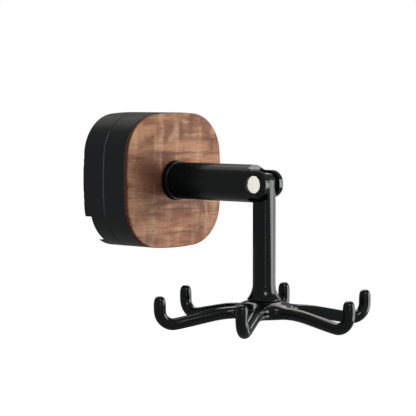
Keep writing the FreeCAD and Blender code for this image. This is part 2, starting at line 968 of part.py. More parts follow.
def make_pin_bush():
    """Plain bearing sleeve in the stem's eye; it turns on the hinge pin."""
    body = new_body("pin_bush")
    hang_from_pin(body)
    ring = new_sketch(body, "ring", "YZ_Plane")
    draw_ring(ring, size("pin_radius") + size("small_clearance"), bush_outer_radius())
    extrude(body, "sleeve", ring, stem_flat() * 2, symmetric=True)
    return body


def make_hinge_washers():
    """Two friction washers between the stem's tongue and the ears."""
    body = new_body("hinge_washers")
    hang_from_pin(body)
    for name, sign in (("left", -1), ("right", 1)):
        start = stem_flat() + size("small_clearance")
        ring = new_sketch(body, f"{name}_ring", "YZ_Plane", start * sign)
        inner = size("pin_radius") + size("small_clearance") * 2
        draw_ring(ring, inner, size("stem_radius") - size("loose_clearance"))
        extrude(
            body, f"{name}_washer", ring, size("hinge_washer_thickness"), reverse=sign < 0
        )
    return body


# ---------------------------------------------------------------- swivel under the stem


def crown_top():
    """Drop from the hinge pin's axis to the top of the crown."""
    return size("foot_drop") + size("thrust_washer_thickness") + size("swivel_play")


def crown_bottom():
    return crown_top() + size("hub_thickness")


def recess_top():
    return crown_bottom() - size("recess_depth")


def flange_bottom():
    return recess_top() + size("swivel_flange_thickness")


def head_top():
    return flange_bottom() + size("swivel_play")


def make_thrust_washer():
    """Thin nylon washer that the crown turns against."""
    body = new_body("thrust_washer")
    hang_from_pin(body)
    ring = new_sketch(body, "ring", "XY_Plane", -size("foot_drop"))
    inner = size("shoulder_radius") + size("small_clearance") * 2
    draw_ring(ring, inner, size("thrust_washer_radius"))
    extrude(body, "disc", ring, size("thrust_washer_thickness"), reverse=True)
    return body


def make_crown_screw():
    """Shoulder screw up into the stem; the crown hangs on its head and turns on its shoulder."""
    body = new_body("crown_screw")
    hang_from_pin(body)
    profile = new_sketch(body, "profile", "XZ_Plane")
    head_bottom = head_top() + size("screw_head_height")
    thread_top = size("foot_drop") - size("screw_thread_length")
    corners = [
        (0, -head_bottom),
        (size("screw_head_radius"), -head_bottom),
        (size("screw_head_radius"), -head_top()),
        (size("shoulder_radius"), -head_top()),
        (size("shoulder_radius"), -size("foot_drop")),
        (size("screw_thread_radius"), -size("foot_drop")),
        (size("screw_thread_radius"), -thread_top),
        (0, -thread_top),
    ]
    draw_path(profile, corners)
    revolve(body, "turning", profile, "V_Axis")
    return body


def swivel_bush_radius():
    return size("shoulder_radius") + size("small_clearance") + size("swivel_bush_wall")


def make_crown_bush():
    """Flanged plain bearing pressed into the crown from below."""
    body = new_body("crown_bush")
    hang_from_pin(body)
    inner = size("shoulder_radius") + size("small_clearance")
    profile = new_sketch(body, "profile", "XZ_Plane")
    corners = [
        (inner, -flange_bottom()),
        (size("swivel_flange_radius"), -flange_bottom()),
        (size("swivel_flange_radius"), -recess_top()),
        (swivel_bush_radius(), -recess_top()),
        (swivel_bush_radius(), -crown_top()),
        (inner, -crown_top()),
    ]
    draw_path(profile, corners)
    revolve(body, "turning", profile, "V_Axis")
    return body


# ---------------------------------------------------------------- crown of six hooks


def branch_route():
    """Centreline of one branch, as (distance from the swivel axis, height): level at the hub,
    arched over into a gentle fall, then turned up into the finger."""
    level = -crown_top() - size("branch_sink")
    fall = size("branch_fall")
    slant = square_root(fall * fall + 1)
    sine = fall / slant
    cosine = as_size(1) / slant
    arch = size("branch_arch_radius")
    bend = size("hook_bend_radius")
    circle = size("hook_circle_radius")
    fall_start = size("branch_level_end") + arch * sine
    fall_start_height = level - arch * (as_size(1) - cosine)
    fall_end = circle - bend - bend * sine
    fall_end_height = fall_start_height - fall * (fall_end - fall_start)
    bend_height = fall_end_height + bend * cosine
    tip_height = size("finger_rise") - crown_top() - size("finger_radius")
    start = size("hub_top_radius") - size("finger_radius")
    corners = [
        (start, level),
        (size("branch_level_end"), level),
        (fall_start, fall_start_height),
        (fall_end, fall_end_height),
        (circle, bend_height),
        (circle, tip_height),
    ]
    return corners, {1: (arch, False), 3: (bend, True)}


def make_crown():
    """Cast crown: a hub with webs between six branches, each ending in an upturned finger."""
    body = new_body("crown")
    hang_from_pin(body)
    hub = new_sketch(body, "hub", "XZ_Plane")
    top = crown_top()
    bottom = crown_bottom()
    edge = size("hub_edge")
    corners = [
        (0, -bottom),
        (size("hub_radius") - edge, -bottom),
        (size("hub_radius"), -bottom + edge),
        (size("hub_radius"), -top - size("hub_shoulder_drop")),
        (size("hub_top_radius"), -top),
        (0, -top),
    ]
    draw_path(hub, corners)
    revolve(body, "hub_turning", hub, "V_Axis")

    web = new_sketch(body, "web", "XY_Plane", -crown_top() - size("branch_web_sink"))
    finger = size("finger_radius")
    web_radius = size("branch_web_radius")
    tangent = (web_radius + finger) * 2 * COS_30
    corners = [
        (0, 0),
        (tangent * COS_30 - finger / 2, finger * COS_30 + tangent / 2),
        (finger, tangent),
    ]
    draw_path(web, corners, {1: (web_radius, False)})
    web_pad = extrude(body, "web_pad", web, size("branch_web_thickness"), reverse=True)

    route, arcs = branch_route()
    path = new_sketch(body, "path", "YZ_Plane")
    draw_path(path, route, arcs, closed=False)
    tip_across, tip_up = route[-1]
    section = new_sketch(body, "section", "XY_Plane", tip_up)
    draw_circle(section, finger, 0, tip_across)
    pipe = body.newObject("PartDesign::AdditivePipe", "crown_branch")
    pipe.Profile = section
    pipe.Spine = (path, [f"Edge{i + 1}" for i in range(len(route) - 1)])
    body.Tip = pipe

    cap = new_sketch(body, "tip_profile", "YZ_Plane")
    corners = [(tip_across, tip_up), (tip_across + finger, tip_up), (tip_across, tip_up + finger)]
    draw_path(cap, corners, {1: (finger, True)})
    axis_start = FreeCAD.Vector(tip_across.value, tip_up.value, 0)
    axis_end = FreeCAD.Vector(tip_across.value, tip_up.value + finger.value, 0)
    axis = cap.addGeometry(Part.LineSegment(axis_start, axis_end), True)
    pin_point(cap, axis, 1, tip_across, tip_up)
    pin_point(cap, axis, 2, tip_across, tip_up + finger)
    tip = revolve(body, "finger_tip", cap, "Axis0")

    pattern = body.newObject("PartDesign::PolarPattern", "crown_branches")
    pattern.Originals = [web_pad, pipe, tip]
    pattern.Axis = (origin_feature(body, "Z_Axis"), [""])
    pattern.Angle = FULL_TURN
    pattern.Occurrences = HOOK_COUNT
    body.Tip = pattern

    recess = new_sketch(body, "recess", "XY_Plane", -crown_bottom())
    draw_circle(recess, size("recess_radius"))
    cut(body, "screw_recess", recess, size("recess_depth"))
    bore = new_sketch(body, "bore", "XY_Plane", -crown_bottom())
    draw_circle(bore, swivel_bush_radius() + size("small_clearance"))
    cut(body, "bush_bore", bore, size("hub_thickness"))
    return body


def make_crown_cap():
    """Small disc pressed into the underside of the crown over the screw's head."""
    body = new_body("crown_cap")
    hang_from_pin(body)
    disc = new_sketch(body, "disc", "XY_Plane", -crown_bottom())
    draw_circle(disc, size("recess_radius") - size("small_clearance"))
    extrude(body, "plug", disc, size("cap_depth"))
    return body


# ---------------------------------------------------------------- build, check and write


def features_of(body):
    solids = ("PartDesign::Pocket", "PartDesign::Groove")
    return [feature for feature in body.Group if feature.TypeId in solids]


def check(bodies):
    """Stops on a failed feature, a cut that removes nothing, or a piece that isn't sound."""
    for item in document.Objects:
        if "Invalid" in item.State or "Error" in item.State:
            raise RuntimeError(f"{item.Label} failed: {item.State}")
    for body in bodies:
        for feature in features_of(body):
            removed = feature.BaseFeature.Shape.Volume - feature.Shape.Volume
            if removed < 1e-3:
                raise RuntimeError(f"{feature.Label} removes nothing")
        if body.Shape.isNull() or not body.Shape.isValid() or not body.Shape.Solids:
            raise RuntimeError(f"{body.Label} is not a sound solid")


def main():
    fill_sheet()
    bodies = [
        make_adhesive_pad(),
        make_wall_plate(),
        make_rear_shell(),
        make_front_shell(),
        make_shell_screws(),
        make_face_film(),
        make_wood_face(),
        make_arm_collar(),
        make_arm(),
        make_backing_plate(),
        make_arm_washer(),
        make_lock_washer(),
        make_arm_bolt(),
        make_hinge_pin(),
        make_pin_caps(),
        make_stem(),
        make_pin_bush(),
        make_hinge_washers(),
        make_thrust_washer(),
        make_crown_screw(),
        make_crown(),
        make_crown_bush(),
        make_crown_cap(),
    ]
    document.recompute()
    check(bodies)
    os.makedirs("parts", exist_ok=True)
    for body in bodies:
        body.Shape.exportStep(f"parts/{body.Label}.step")
        box = body.Shape.BoundBox
        print(
            f"{body.Label}: {len(body.Shape.Solids)} solid(s), {body.Shape.Volume:.1f} mm3, "
            f"X {box.XMin:.2f} {box.XMax:.2f}, Y {box.YMin:.2f} {box.YMax:.2f}, "
            f"Z {box.ZMin:.2f} {box.ZMax:.2f}"
        )


main()
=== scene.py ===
import math
import bmesh
import bpy
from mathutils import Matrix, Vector


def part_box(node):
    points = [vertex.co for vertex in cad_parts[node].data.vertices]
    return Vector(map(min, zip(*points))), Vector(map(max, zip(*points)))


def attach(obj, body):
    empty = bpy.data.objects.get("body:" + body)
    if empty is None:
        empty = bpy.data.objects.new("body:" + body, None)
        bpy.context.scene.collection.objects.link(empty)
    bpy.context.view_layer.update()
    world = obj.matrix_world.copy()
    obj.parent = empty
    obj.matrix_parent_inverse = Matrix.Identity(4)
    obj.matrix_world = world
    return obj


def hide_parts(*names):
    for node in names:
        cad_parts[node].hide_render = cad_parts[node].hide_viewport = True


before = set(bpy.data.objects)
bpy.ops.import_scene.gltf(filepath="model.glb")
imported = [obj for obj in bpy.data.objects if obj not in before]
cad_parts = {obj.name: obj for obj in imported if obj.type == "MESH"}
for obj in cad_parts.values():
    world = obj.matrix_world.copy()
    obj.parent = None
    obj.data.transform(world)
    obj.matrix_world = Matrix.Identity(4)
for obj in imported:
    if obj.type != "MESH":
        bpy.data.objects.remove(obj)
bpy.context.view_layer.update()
MM = 0.001

# ---- Adhesive pad ------------------------------------------------------------------------------
# A die-cut pad of closed-cell foam with acrylic glue on both faces, 1.2 mm thick. It is stuck to
# the back of the wall plate and then to the wall. The foam is charcoal with fine open cells.


def start_finish(name):
    """A new finish with its shader; the nodes that drive it are added by the section."""
    finish = bpy.data.materials.new(name)
    finish.use_nodes = True
    return finish, finish.node_tree.nodes["Principled BSDF"]


def add_node(finish, kind, sockets=None, **settings):
    """One node of a finish, with its settings and the values of its sockets."""
    node = finish.node_tree.nodes.new(kind)
    for name, value in settings.items():
        setattr(node, name, value)
    for name, value in (sockets or {}).items():
        node.inputs[name].default_value = value
    return node


def join(finish, source, target):
    """Links one node's output to another node's input."""
    finish.node_tree.links.new(source, target)


def place_pattern(finish, scale=(1, 1, 1), centre=(0, 0, 0), turn=(0, 0, 0)):
    """The piece's own coordinates, moved to a centre, turned, and stretched for a pattern."""
    where = add_node(finish, "ShaderNodeTexCoord")
    moved = add_node(finish, "ShaderNodeMapping")
    moved.inputs["Location"].default_value = [-value for value in centre]
    stretched = add_node(finish, "ShaderNodeMapping", {"Rotation": turn, "Scale": scale})
    join(finish, where.outputs["Object"], moved.inputs["Vector"])
    join(finish, moved.outputs["Vector"], stretched.inputs["Vector"])
    return stretched.outputs["Vector"]


def speckle(finish, place, scale, detail=2.0, roughness=0.5, distortion=0.0):
    """A cloudy value from 0 to 1 that varies over the surface."""
    cloud = add_node(finish, "ShaderNodeTexNoise",
                     {"Scale": scale, "Detail": detail, "Roughness": roughness,
                      "Distortion": distortion})
    join(finish, place, cloud.inputs["Vector"])
    return cloud.outputs["Fac"]


def spread(finish, value, low, high, to_low=0.0, to_high=1.0, smooth=True):
    """Stretches a value from one range to another and holds it inside."""
    stretched = add_node(finish, "ShaderNodeMapRange",
                         {"From Min": low, "From Max": high, "To Min": to_low, "To Max": to_high},
                         interpolation_type="SMOOTHSTEP" if smooth else "LINEAR")
    join(finish, value, stretched.inputs["Value"])
    return stretched.outputs["Result"]


def tint(colour):
    """A screen colour of 0 to 255 as the shader's linear colour."""
    shares = [part / 255 for part in colour]
    linear = [s / 12.92 if s <= 0.04045 else ((s + 0.055) / 1.055) ** 2.4 for s in shares]
    return (*linear, 1.0)


def blend_colours(finish, share, first, second, blend_type="MIX"):
    """Mixes two colours by a share. A colour is a tuple or another node's socket."""
    mix = add_node(finish, "ShaderNodeMix", data_type="RGBA", blend_type=blend_type)
    for place, colour in ((6, first), (7, second)):
        if isinstance(colour, tuple):
            mix.inputs[place].default_value = colour
        else:
            join(finish, colour, mix.inputs[place])
    if isinstance(share, float):
        mix.inputs[0].default_value = share
    else:
        join(finish, share, mix.inputs[0])
    return mix.outputs[2]


def sums(finish, operation, first, second):
    """First and second joined by a sum, product or other operation."""
    node = add_node(finish, "ShaderNodeMath", operation=operation)
    for place, value in enumerate((first, second)):
        if isinstance(value, float):
            node.inputs[place].default_value = value
        else:
            join(finish, value, node.inputs[place])
    return node.outputs["Value"]


def raise_surface(finish, shader, height, distance, strength=1.0):
    """Bumps the surface by a height of 0 to 1 times a distance in metres."""
    bump = add_node(finish, "ShaderNodeBump", {"Strength": strength, "Distance": distance})
    join(finish, height, bump.inputs["Height"])
    join(finish, bump.outputs["Normal"], shader.inputs["Normal"])


def vary_colour(finish, shader, share, first, second):
    """Lets the shader's colour drift from a first to a second one."""
    join(finish, blend_colours(finish, share, first, second), shader.inputs["Base Color"])


def vary_roughness(finish, shader, value, at_low, at_high):
    """Lets the shader's roughness follow a speckle, over the middle of the speckle's range."""
    join(finish, spread(finish, value, 0.3, 0.7, at_low, at_high), shader.inputs["Roughness"])


def paint(node_name, finish):
    """Puts a finish on a CAD node, through its object's material slots."""
    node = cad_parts[node_name]
    for number in range(len(node.material_slots)):
        node.material_slots[number].link = "OBJECT"
        node.material_slots[number].material = finish


foam_finish, foam_shader = start_finish("charcoal_foam")
foam_place = place_pattern(foam_finish)
foam_cells = speckle(foam_finish, foam_place, scale=2600.0, detail=3.0)
foam_clouds = speckle(foam_finish, foam_place, scale=160.0)
foam_tone = blend_colours(foam_finish, foam_clouds, tint((44, 45, 46)), tint((62, 63, 64)))
foam_colour = blend_colours(foam_finish, spread(foam_finish, foam_cells, 0.35, 0.6),
                            tint((26, 27, 28)), foam_tone)
join(foam_finish, foam_colour, foam_shader.inputs["Base Color"])
vary_roughness(foam_finish, foam_shader, foam_cells, 0.95, 0.75)
raise_surface(foam_finish, foam_shader, foam_cells, 0.25 * MM)
paint("adhesive_pad", foam_finish)

# ---- Wall plate --------------------------------------------------------------------------------
# A moulded ABS plate that stays on the wall. Two countersunk holes take wall screws, and two
# upturned hooks stand out from it, over which the housing drops. Fine texture, near black.

plate_finish, plate_shader = start_finish("moulded_plate")
plate_place = place_pattern(plate_finish)
plate_grain = speckle(plate_finish, plate_place, scale=3200.0, detail=2.0, roughness=0.6)
plate_clouds = speckle(plate_finish, plate_place, scale=90.0)
vary_colour(plate_finish, plate_shader, plate_clouds, tint((34, 36, 37)), tint((44, 46, 46)))
vary_roughness(plate_finish, plate_shader, plate_grain, 0.48, 0.62)
raise_surface(plate_finish, plate_shader, plate_grain, 0.05 * MM)
paint("wall_plate", plate_finish)

# ---- Shell finish ------------------------------------------------------------------------------
# Both halves of the housing are moulded ABS in a soft black with a trace of green-grey. The
# mould's fine texture breaks the light, so edges read as soft lines and never as mirrors.

shell_finish, shell_shader = start_finish("soft_black_shell")
shell_place = place_pattern(shell_finish)
shell_grain = speckle(shell_finish, shell_place, scale=2400.0, detail=2.0, roughness=0.55)
shell_clouds = speckle(shell_finish, shell_place, scale=55.0, detail=3.0)
vary_colour(shell_finish, shell_shader, shell_clouds, tint((17, 23, 25)), tint((23, 29, 30)))
vary_roughness(shell_finish, shell_shader, shell_grain, 0.3, 0.4)
raise_surface(shell_finish, shell_shader, shell_grain, 0.02 * MM)
for node_name in ("rear_shell", "front_shell"):
    paint(node_name, shell_finish)

# ---- Fixings inside the housing ----------------------------------------------------------------
# Four blackened self-tapping screws close the shells. A blackened socket bolt clamps the arm's
# spigot to the front wall, with a zinc-plated backing plate, washer and split lock washer. The
# swivel's shoulder screw has the same blackened finish.

dark_steel_finish, dark_steel_shader = start_finish("blackened_steel")
dark_steel_place = place_pattern(dark_steel_finish)
dark_steel_clouds = speckle(dark_steel_finish, dark_steel_place, scale=420.0, detail=4.0)
vary_colour(dark_steel_finish, dark_steel_shader, dark_steel_clouds,
            tint((48, 47, 46)), tint((74, 72, 70)))
vary_roughness(dark_steel_finish, dark_steel_shader, dark_steel_clouds, 0.32, 0.5)
dark_steel_shader.inputs["Metallic"].default_value = 1.0
raise_surface(dark_steel_finish, dark_steel_shader, dark_steel_clouds, 0.01 * MM)
for node_name in ("shell_screws", "arm_bolt", "crown_screw"):
    paint(node_name, dark_steel_finish)

zinc_finish, zinc_shader = start_finish("zinc_plated_steel")
zinc_place = place_pattern(zinc_finish)
zinc_grain = speckle(zinc_finish, place_pattern(zinc_finish, scale=(300, 300, 3000)), scale=1.0)
zinc_clouds = speckle(zinc_finish, zinc_place, scale=200.0, detail=4.0)
vary_colour(zinc_finish, zinc_shader, zinc_clouds, tint((150, 152, 156)), tint((188, 189, 190)))
vary_roughness(zinc_finish, zinc_shader, zinc_grain, 0.28, 0.42)
zinc_shader.inputs["Metallic"].default_value = 1.0
raise_surface(zinc_finish, zinc_shader, zinc_grain, 0.01 * MM)
for node_name in ("backing_plate", "arm_washer", "lock_washer"):
    paint(node_name, zinc_finish)

# ---- Adhesive film under the wood --------------------------------------------------------------
# A clear double-sided film, 0.2 mm thick, that holds the wood face on the front shell. It is cut
# 1 mm in from the wood's outline all round, so none of it shows.

film_finish, film_shader = start_finish("adhesive_film")
film_clouds = speckle(film_finish, place_pattern(film_finish), scale=300.0, detail=3.0)
vary_colour(film_finish, film_shader, film_clouds, tint((150, 146, 136)), tint((172, 168, 158)))
vary_roughness(film_finish, film_shader, film_clouds, 0.3, 0.45)
raise_surface(film_finish, film_shader, film_clouds, 0.01 * MM)
paint("face_film", film_finish)

# ---- Wood face ---------------------------------------------------------------------------------
# A 1.75 mm slice of figured walnut with the same outline as the housing, its front arris rounded
# over. The grain lies level, and a curly figure crosses it in soft upright bands.

wood_low, wood_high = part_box("wood_face")
edge_start = wood_low.y + 0.08 * MM
edge_end = wood_low.y + 0.5 * MM

walnut_brown = tint((124, 78, 54))
walnut_tan = tint((168, 121, 88))
curl_highlight = tint((196, 158, 126))
streak_brown = tint((92, 56, 42))
fibre_brown = tint((100, 64, 48))
fleck_brown = tint((56, 34, 27))
# brown of the darker patch beside the arm: heartwood, with the arm's shadow painted in
heart_and_shadow_brown = tint((82, 44, 32))
edge_brown = tint((104, 56, 34))
edge_tan = tint((150, 88, 56))

walnut_finish, walnut_shader = start_finish("figured_walnut")
streak_place = place_pattern(walnut_finish, scale=(30, 80, 330))
fibre_place = place_pattern(walnut_finish, scale=(80, 300, 1900))
cloud_place = place_pattern(walnut_finish, scale=(36, 60, 130), centre=(0.003, 0, 0.004))
curl_place = place_pattern(walnut_finish, scale=(170, 60, 70), turn=(0, 0.15, 0))
fleck_place = place_pattern(walnut_finish, scale=(240, 100, 800))
# where the darker patch of heartwood and painted arm shadow sits, left of the arm
heart_and_shadow_place = place_pattern(walnut_finish, scale=(42, 10, 66), centre=(-0.017, 0, 0.001))
streaks = speckle(walnut_finish, streak_place, scale=1.0, detail=4.0, roughness=0.6, distortion=0.5)
fibres = speckle(walnut_finish, fibre_place, scale=1.0, detail=2.0, roughness=0.6)
clouds = speckle(walnut_finish, cloud_place, scale=1.0, detail=3.5, distortion=0.4)
curls = speckle(walnut_finish, curl_place, scale=1.0, detail=1.5, roughness=0.5, distortion=0.7)
flecks = speckle(walnut_finish, fleck_place, scale=1.0, detail=1.0)
wood_tone = blend_colours(walnut_finish, spread(walnut_finish, clouds, 0.34, 0.62),
                          walnut_brown, walnut_tan)
curl_share = sums(walnut_finish, "MULTIPLY", spread(walnut_finish, curls, 0.42, 0.85),
                  spread(walnut_finish, fibres, 0.2, 0.8, 1.0, 0.55))
wood_tone = blend_colours(walnut_finish, curl_share, wood_tone, curl_highlight)
wood_tone = blend_colours(walnut_finish, spread(walnut_finish, streaks, 0.48, 0.68, 0.0, 0.78),
                          wood_tone, streak_brown)
wood_tone = blend_colours(walnut_finish, spread(walnut_finish, fibres, 0.35, 0.7, 0.0, 0.3),
                          wood_tone, fibre_brown)
wood_tone = blend_colours(walnut_finish, spread(walnut_finish, flecks, 0.66, 0.74, 0.0, 0.6),
                          wood_tone, fleck_brown)

# a darker patch beside the arm, partly heartwood and partly a painted shadow of the arm on the wood
heart_and_shadow_distance = add_node(walnut_finish, "ShaderNodeVectorMath", operation="LENGTH")
join(walnut_finish, heart_and_shadow_place, heart_and_shadow_distance.inputs[0])
heart_and_shadow_share = spread(walnut_finish, heart_and_shadow_distance.outputs["Value"], 0.1, 1.0, 0.78, 0.0)
wood_tone = blend_colours(walnut_finish, heart_and_shadow_share, wood_tone, heart_and_shadow_brown)

# from the rounded arris back, the sawn edge is redder than the face
wood_depth = add_node(walnut_finish, "ShaderNodeSeparateXYZ")
join(walnut_finish, place_pattern(walnut_finish), wood_depth.inputs["Vector"])
wood_edge = spread(walnut_finish, wood_depth.outputs["Y"],
                   edge_start, edge_end, 0.0, 1.0)
wood_edge_tone = blend_colours(walnut_finish, spread(walnut_finish, fibres, 0.35, 0.65),
                               edge_brown, edge_tan)
wood_tone = blend_colours(walnut_finish, wood_edge, wood_tone, wood_edge_tone)
join(walnut_finish, wood_tone, walnut_shader.inputs["Base Color"])
vary_roughness(walnut_finish, walnut_shader, fibres, 0.5, 0.62)
walnut_shader.inputs["Specular IOR Level"].default_value = 0.18
wood_relief = sums(walnut_finish, "ADD", fibres, sums(walnut_finish, "MULTIPLY", streaks, 0.6))
raise_surface(walnut_finish, walnut_shader, wood_relief, 0.03 * MM)
paint("wood_face", walnut_finish)

# the black pieces don't mirror the wood, so their gloss stays neutral
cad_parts["wood_face"].visible_glossy = False

# ---- Arm ---------------------------------------------------------------------------------------
# A turned aluminium bar, 17.3 mm across, under a satin black powder coat. Its round nose is
# milled above and below to a fork, slotted for the stem, and counterbored for the pin's caps.
# The collar ring round its neck has the same coat.

pin_depth = 85.6 * MM
arm_radius = 8.65 * MM
arm_neck_radius = 7.6 * MM
arm_spigot_radius = 6.0 * MM
spigot_depth = 23.3 * MM
shell_depth = 27.7 * MM
collar_depth = 32.65 * MM
fork_depth = 80.0 * MM
fork_radius = 6.2 * MM
slot_half_width = 3.5 * MM
cove_radius = 1.0 * MM
cap_seat = 6.5 * MM
counterbore_radius = 4.05 * MM
counterbore_length = 10 * MM
pin_bore_radius = 2.525 * MM
bolt_hole_radius = 3.0 * MM
bolt_hole_length = 25 * MM
arm_edge_round = 0.3 * MM
clear_of_arm = 20 * MM


def clear_selection():
    """Object mode with nothing selected, so that the next operator acts on new work only."""
    if bpy.context.object and bpy.context.object.mode == "EDIT":
        bpy.ops.object.mode_set(mode="OBJECT")
    bpy.ops.object.select_all(action="DESELECT")


def start_drawing(name, place):
    """A new piece with a single point, left in edit mode for drawing on."""
    clear_selection()
    bpy.ops.mesh.primitive_plane_add(size=MM, location=place)
    piece = bpy.context.object
    piece.name = name
    piece.data.name = name
    bpy.ops.object.transform_apply(location=True, rotation=False, scale=False)
    bpy.ops.object.mode_set(mode="EDIT")
    bpy.ops.mesh.select_mode(type="VERT")
    bpy.ops.mesh.merge(type="CENTER")
    return piece


def draw_to(*places):
    """Draws straight lines from the last point to each place in turn."""
    for place in places:
        shape = bmesh.from_edit_mesh(bpy.context.edit_object.data)
        last = next(point.co for point in shape.verts if point.select)
        bpy.ops.mesh.extrude_region_move(
            TRANSFORM_OT_translate={"value": Vector(place) - last})


def draw_arc(centre, axis, degrees, steps):
    """Draws an arc from the last point. It turns left-handed about the axis."""
    bpy.ops.mesh.spin(steps=steps, dupli=False, angle=math.radians(degrees),
                      center=centre, axis=axis)


def select_where(kind, wanted):
    """In edit mode, selects only the points, edges or faces for which wanted(middle, part)."""
    piece = bpy.context.edit_object
    bpy.ops.mesh.select_mode(type=kind)
    bpy.ops.mesh.select_all(action="DESELECT")
    shape = bmesh.from_edit_mesh(piece.data)
    parts = {"VERT": shape.verts, "EDGE": shape.edges, "FACE": shape.faces}[kind]
    for part in parts:
        corners = [part] if kind == "VERT" else part.verts
        middle = sum((corner.co for corner in corners), Vector()) / len(corners)
        if wanted(middle, part):
            part.select_set(True)
    shape.select_flush_mode()
    bmesh.update_edit_mesh(piece.data)


def close_seams():
    """Merges points that meet and turns every face outwards."""
    bpy.ops.mesh.select_all(action="SELECT")
    bpy.ops.mesh.remove_doubles(threshold=0.001 * MM)
    bpy.ops.mesh.normals_make_consistent(inside=False)


def turn_on_lathe(centre, axis, steps):
    """Spins the whole drawn profile once round an axis and closes it."""
    bpy.ops.mesh.select_all(action="SELECT")
    bpy.ops.mesh.spin(steps=steps, dupli=False, angle=math.tau, center=centre, axis=axis)
    close_seams()
    bpy.ops.object.mode_set(mode="OBJECT")


def make_prism(move):
    """Fills the drawn outline and gives it a thickness in a direction."""
    bpy.ops.mesh.select_all(action="SELECT")
    bpy.ops.mesh.remove_doubles(threshold=0.001 * MM)
    bpy.ops.mesh.edge_face_add()
    bpy.ops.mesh.extrude_region_move(TRANSFORM_OT_translate={"value": move})
    close_seams()
    bpy.ops.object.mode_set(mode="OBJECT")


def join_ends():
    """Closes a drawn line with a straight edge from its last point to its first."""
    piece = bpy.context.edit_object
    shape = bmesh.from_edit_mesh(piece.data)
    for point in shape.verts:
        point.select_set(len(point.link_edges) == 1)
    bmesh.update_edit_mesh(piece.data)
    bpy.ops.mesh.edge_face_add()


def cut_away(piece, cutter):
    """Cuts the cutter's shape out of the piece and throws the cutter away."""
    clear_selection()
    piece.select_set(True)
    bpy.context.view_layer.objects.active = piece
    cutting = piece.modifiers.new("cutting", "BOOLEAN")
    cutting.operation = "DIFFERENCE"
    cutting.solver = "EXACT"
    cutting.object = cutter
    bpy.ops.object.modifier_apply(modifier=cutting.name)
    bpy.data.objects.remove(cutter, do_unlink=True)


def drill(piece, place, axis, radius, length, sides=64):
    """Cuts a round hole. It starts at a place and runs along an axis for its length."""
    way = Vector(axis)
    clear_selection()
    bpy.ops.mesh.primitive_cylinder_add(vertices=sides, radius=radius, depth=length,
                                        location=Vector(place) + way * length / 2,
                                        rotation=way.to_track_quat("Z", "Y").to_euler())
    cut_away(piece, bpy.context.object)


def round_arrises(piece, width, segments, degrees=32):
    """Rounds every edge that is sharper than an angle, then smooths the faces between."""
    clear_selection()
    piece.select_set(True)
    bpy.context.view_layer.objects.active = piece
    rounding = piece.modifiers.new("rounding", "BEVEL")
    rounding.width = width
    rounding.segments = segments
    rounding.limit_method = "ANGLE"
    rounding.angle_limit = math.radians(degrees)
    rounding.miter_outer = "MITER_ARC"
    bpy.ops.object.modifier_apply(modifier=rounding.name)
    bpy.ops.object.shade_smooth_by_angle(angle=math.radians(degrees))


def hand_over(piece, body, slot, finish, *nodes):
    """Paints a finished piece, gives it to its body and lets it stand for its CAD nodes."""
    piece.data.materials.clear()
    piece.data.materials.append(finish)
    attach(piece, body)
    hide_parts(*nodes)


arm = start_drawing("hanger_arm", (0, -spigot_depth, 0))
draw_to((0, -spigot_depth, arm_spigot_radius),
        (0, -shell_depth, arm_spigot_radius),
        (0, -shell_depth, arm_neck_radius),
        (0, -collar_depth, arm_neck_radius),
        (0, -collar_depth, arm_radius),
        (0, -pin_depth, arm_radius))
draw_arc((0, -pin_depth, 0), (-1, 0, 0), 90, 24)
turn_on_lathe((0, 0, 0), (0, 1, 0), 128)

for side in (1, -1):
    milling = start_drawing("milling",
                            (-clear_of_arm, -fork_depth, side * (fork_radius + cove_radius)))
    draw_arc((-clear_of_arm, -fork_depth - cove_radius, side * (fork_radius + cove_radius)),
             (-side, 0, 0), -90, 8)
    draw_to((-clear_of_arm, -pin_depth, side * fork_radius))
    draw_arc((-clear_of_arm, -pin_depth, 0), (-side, 0, 0), 90, 24)
    draw_to((-clear_of_arm, -pin_depth - clear_of_arm, 0),
            (-clear_of_arm, -pin_depth - clear_of_arm, side * clear_of_arm),
            (-clear_of_arm, -fork_depth, side * clear_of_arm))
    join_ends()
    make_prism((2 * clear_of_arm, 0, 0))
    cut_away(arm, milling)

slot_cut = start_drawing("slot_cut", (-slot_half_width, -fork_depth, -clear_of_arm))
draw_to((slot_half_width, -fork_depth, -clear_of_arm),
        (slot_half_width, -pin_depth - clear_of_arm, -clear_of_arm),
        (-slot_half_width, -pin_depth - clear_of_arm, -clear_of_arm))
join_ends()
make_prism((0, 0, 2 * clear_of_arm))
cut_away(arm, slot_cut)

for side in (1, -1):
    drill(arm, (side * cap_seat, -pin_depth, 0), (side, 0, 0),
          counterbore_radius, counterbore_length)
drill(arm, (-clear_of_arm, -pin_depth, 0), (1, 0, 0), pin_bore_radius, 2 * clear_of_arm)
drill(arm, (0, -spigot_depth + MM, 0), (0, -1, 0), bolt_hole_radius, bolt_hole_length)
round_arrises(arm, arm_edge_round, 3)

coat_finish, coat_shader = start_finish("satin_black_coat")
coat_place = place_pattern(coat_finish)
coat_grain = speckle(coat_finish, coat_place, scale=1900.0, detail=2.0)
coat_clouds = speckle(coat_finish, coat_place, scale=70.0, detail=3.0)
vary_colour(coat_finish, coat_shader, coat_clouds, tint((12, 15, 15)), tint((16, 19, 20)))
coat_depth = add_node(coat_finish, "ShaderNodeSeparateXYZ")
join(coat_finish, place_pattern(coat_finish), coat_depth.inputs["Vector"])

# the coat is smoother towards the fork than beside the housing
coat_sheen = spread(coat_finish, coat_depth.outputs["Y"], -fork_depth, -shell_depth, 0.08, 0.3)
coat_roughness = sums(coat_finish, "ADD", coat_sheen,
                      spread(coat_finish, coat_grain, 0.3, 0.7, 0.0, 0.06))
join(coat_finish, coat_roughness, coat_shader.inputs["Roughness"])
raise_surface(coat_finish, coat_shader, coat_grain, 0.004 * MM)
paint("arm_collar", coat_finish)
hand_over(arm, "housing", "arm_black", coat_finish, "arm")

# ---- Hinge pin, caps, bush and washers ---------------------------------------------------------
# A satin stainless pin runs through the fork and is closed by two pressed-in caps. The stem's
# tongue turns on it in a nylon bush between nylon washers. The swivel's washer, bush and cap are
# of the same black nylon.

